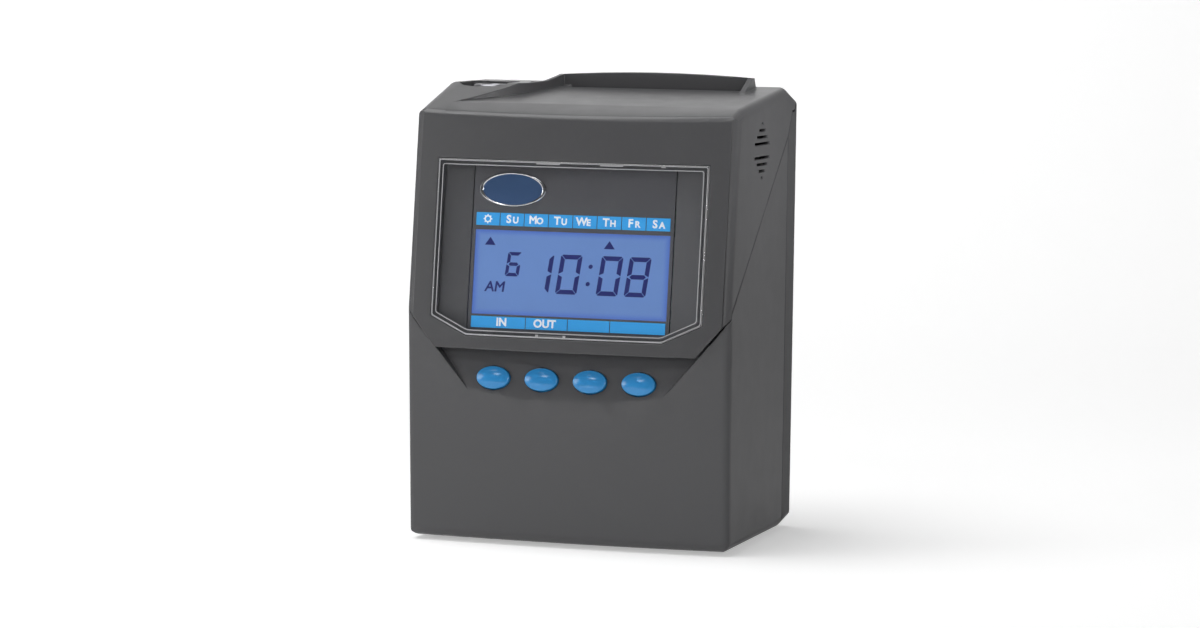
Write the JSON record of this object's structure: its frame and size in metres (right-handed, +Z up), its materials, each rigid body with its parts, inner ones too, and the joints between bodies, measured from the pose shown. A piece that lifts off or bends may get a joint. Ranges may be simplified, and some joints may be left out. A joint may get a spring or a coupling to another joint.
{
  "type": "time clock",
  "caption": "Card time clock with a hinged graphite hood, a backlit display behind a clear window, oval push buttons, a key lock and a card throat in its sloping top.",
  "frame": {"origin": "on the floor under the middle of the case, at the bottom centre of its box", "axes": "+Z up, the front with the window faces -Y, +X to the right as seen from the front"},
  "size_m": [0.171, 0.1356, 0.2393],
  "materials": {
    "case": "satin",
    "back": "matte",
    "window": "gloss",
    "bezel": "satin",
    "overlay": "satin",
    "strip_blue": "satin",
    "lcd": "gloss",
    "badge": "gloss",
    "button_blue": "gloss",
    "lock_chrome": "polished",
    "steel": "brushed",
    "motor": "satin",
    "brass": "satin",
    "rubber": "matte",
    "light": "satin",
    "board": "satin",
    "dark_plastic": "satin",
    "white_plastic": "satin",
    "cells": "gloss"
  },
  "bodies": {
    "housing": {"lower_housing": "case", "rear_cover": "back", "feet": "rubber", "rear_screws": "steel", "hinge_pins": "steel", "display_bezel": "bezel", "overlay_panel": "overlay", "day_strip": "strip_blue", "function_strip": "strip_blue", "badge": "badge", "lcd_panel": "lcd", "backlight": "light", "display_board": "board", "display_carrier": "dark_plastic", "key_board": "board", "key_switches": "dark_plastic", "chassis": "steel", "chassis_screws": "steel", "chute_front": "steel", "chute_rear": "steel", "feed_bushes": "brass", "idler_pin": "steel", "feed_motor": "motor", "pinch_rod": "steel", "guide_rod": "steel", "guide_rail": "steel", "carriage_motor": "motor", "pulley_pin": "steel", "carriage_belt": "rubber", "platen_bar": "rubber", "sensor_bracket": "dark_plastic", "main_board": "board", "board_parts": "dark_plastic", "backup_battery": "cells", "power_jack": "dark_plastic"},
    "hood": {"hood": "case", "window_lens": "window", "lock_barrel": "lock_chrome"},
    "lock": {"lock_plug": "lock_chrome", "lock_cam": "steel"},
    "button_1": {"button_1": "button_blue"},
    "button_2": {"button_2": "button_blue"},
    "button_3": {"button_3": "button_blue"},
    "button_4": {"button_4": "button_blue"},
    "feed": {"feed_shaft": "steel", "feed_rollers": "rubber", "feed_gear": "white_plastic"},
    "idler": {"idler_gear": "white_plastic"},
    "pinion": {"motor_pinion": "brass"},
    "pinch_arm": {"pinch_arm": "dark_plastic"},
    "pinch_rollers": {"pinch_axle": "steel", "pinch_rollers": "rubber"},
    "carriage": {"carriage": "dark_plastic", "print_head": "motor"},
    "motor_pulley": {"motor_pulley": "white_plastic"},
    "idler_pulley": {"idler_pulley": "white_plastic"},
    "sensor_lever": {"sensor_lever": "dark_plastic"}
  },
  "joints": [
    {"name": "hood_hinge", "type": "hinge", "parent": "housing", "child": "hood", "pos_m": [0, 0.05638, 0.22521], "axis": [-1, 0, 0], "range_deg": [0, 70]},
    {"name": "lock_turn", "type": "hinge", "parent": "hood", "child": "lock", "pos_m": [-0.064, 0.008, 0.222], "axis": [0, 0, 1], "range_deg": [0, 90]},
    {"name": "button_1_press", "type": "slide", "parent": "housing", "child": "button_1", "axis": [0, 0.9686, -0.2487], "range_m": [0, 0.0012], "stiffness_N_per_m": 400, "springref_m": -0.001},
    {"name": "button_2_press", "type": "slide", "parent": "housing", "child": "button_2", "axis": [0, 0.9686, -0.2487], "range_m": [0, 0.0012], "stiffness_N_per_m": 400, "springref_m": -0.001},
    {"name": "button_3_press", "type": "slide", "parent": "housing", "child": "button_3", "axis": [0, 0.9686, -0.2487], "range_m": [0, 0.0012], "stiffness_N_per_m": 400, "springref_m": -0.001},
    {"name": "button_4_press", "type": "slide", "parent": "housing", "child": "button_4", "axis": [0, 0.9686, -0.2487], "range_m": [0, 0.0012], "stiffness_N_per_m": 400, "springref_m": -0.001},
    {"name": "feed_spin", "type": "hinge", "parent": "housing", "child": "feed", "pos_m": [0.017, 0.0419, 0.18], "axis": [1, 0, 0], "continuous": true},
    {"name": "idler_spin", "type": "hinge", "parent": "housing", "child": "idler", "pos_m": [0.074, 0.04659, 0.15341], "axis": [1, 0, 0], "continuous": true},
    {"name": "pinion_spin", "type": "hinge", "parent": "housing", "child": "pinion", "pos_m": [0.074, 0.04971, 0.13568], "axis": [1, 0, 0], "continuous": true},
    {"name": "pinch_lift", "type": "hinge", "parent": "housing", "child": "pinch_arm", "pos_m": [0.017, 0.012, 0.192], "axis": [-1, 0, 0], "range_deg": [0, 4], "stiffness_Nm_per_rad": 0.4, "springref_deg": -5.73},
    {"name": "pinch_spin", "type": "hinge", "parent": "pinch_arm", "child": "pinch_rollers", "pos_m": [0.017, 0.0254, 0.18], "axis": [1, 0, 0], "continuous": true},
    {"name": "carriage_slide", "type": "slide", "parent": "housing", "child": "carriage", "axis": [1, 0, 0], "range_m": [-0.028, 0.028]},
    {"name": "motor_pulley_spin", "type": "hinge", "parent": "housing", "child": "motor_pulley", "pos_m": [-0.027, -0.0036, 0.145], "axis": [0, 1, 0], "range_deg": [-270, 270]},
    {"name": "idler_pulley_spin", "type": "hinge", "parent": "housing", "child": "idler_pulley", "pos_m": [0.061, -0.0036, 0.145], "axis": [0, 1, 0], "range_deg": [-270, 270]},
    {"name": "sensor_tip", "type": "hinge", "parent": "housing", "child": "sensor_lever", "pos_m": [0.017, 0.024, 0.062], "axis": [-1, 0, 0], "range_deg": [0, 25], "stiffness_Nm_per_rad": 0.01, "springref_deg": -17.19}
  ],
  "couplings": [
    {"joint": "idler_spin", "follows": "feed_spin", "ratio": -1.25},
    {"joint": "pinion_spin", "follows": "feed_spin", "ratio": 2.5},
    {"joint": "pinch_spin", "follows": "feed_spin", "ratio": -1},
    {"joint": "motor_pulley_spin", "follows": "carriage_slide", "rad_per_m": 166.67},
    {"joint": "idler_pulley_spin", "follows": "carriage_slide", "rad_per_m": 166.67}
  ]
}
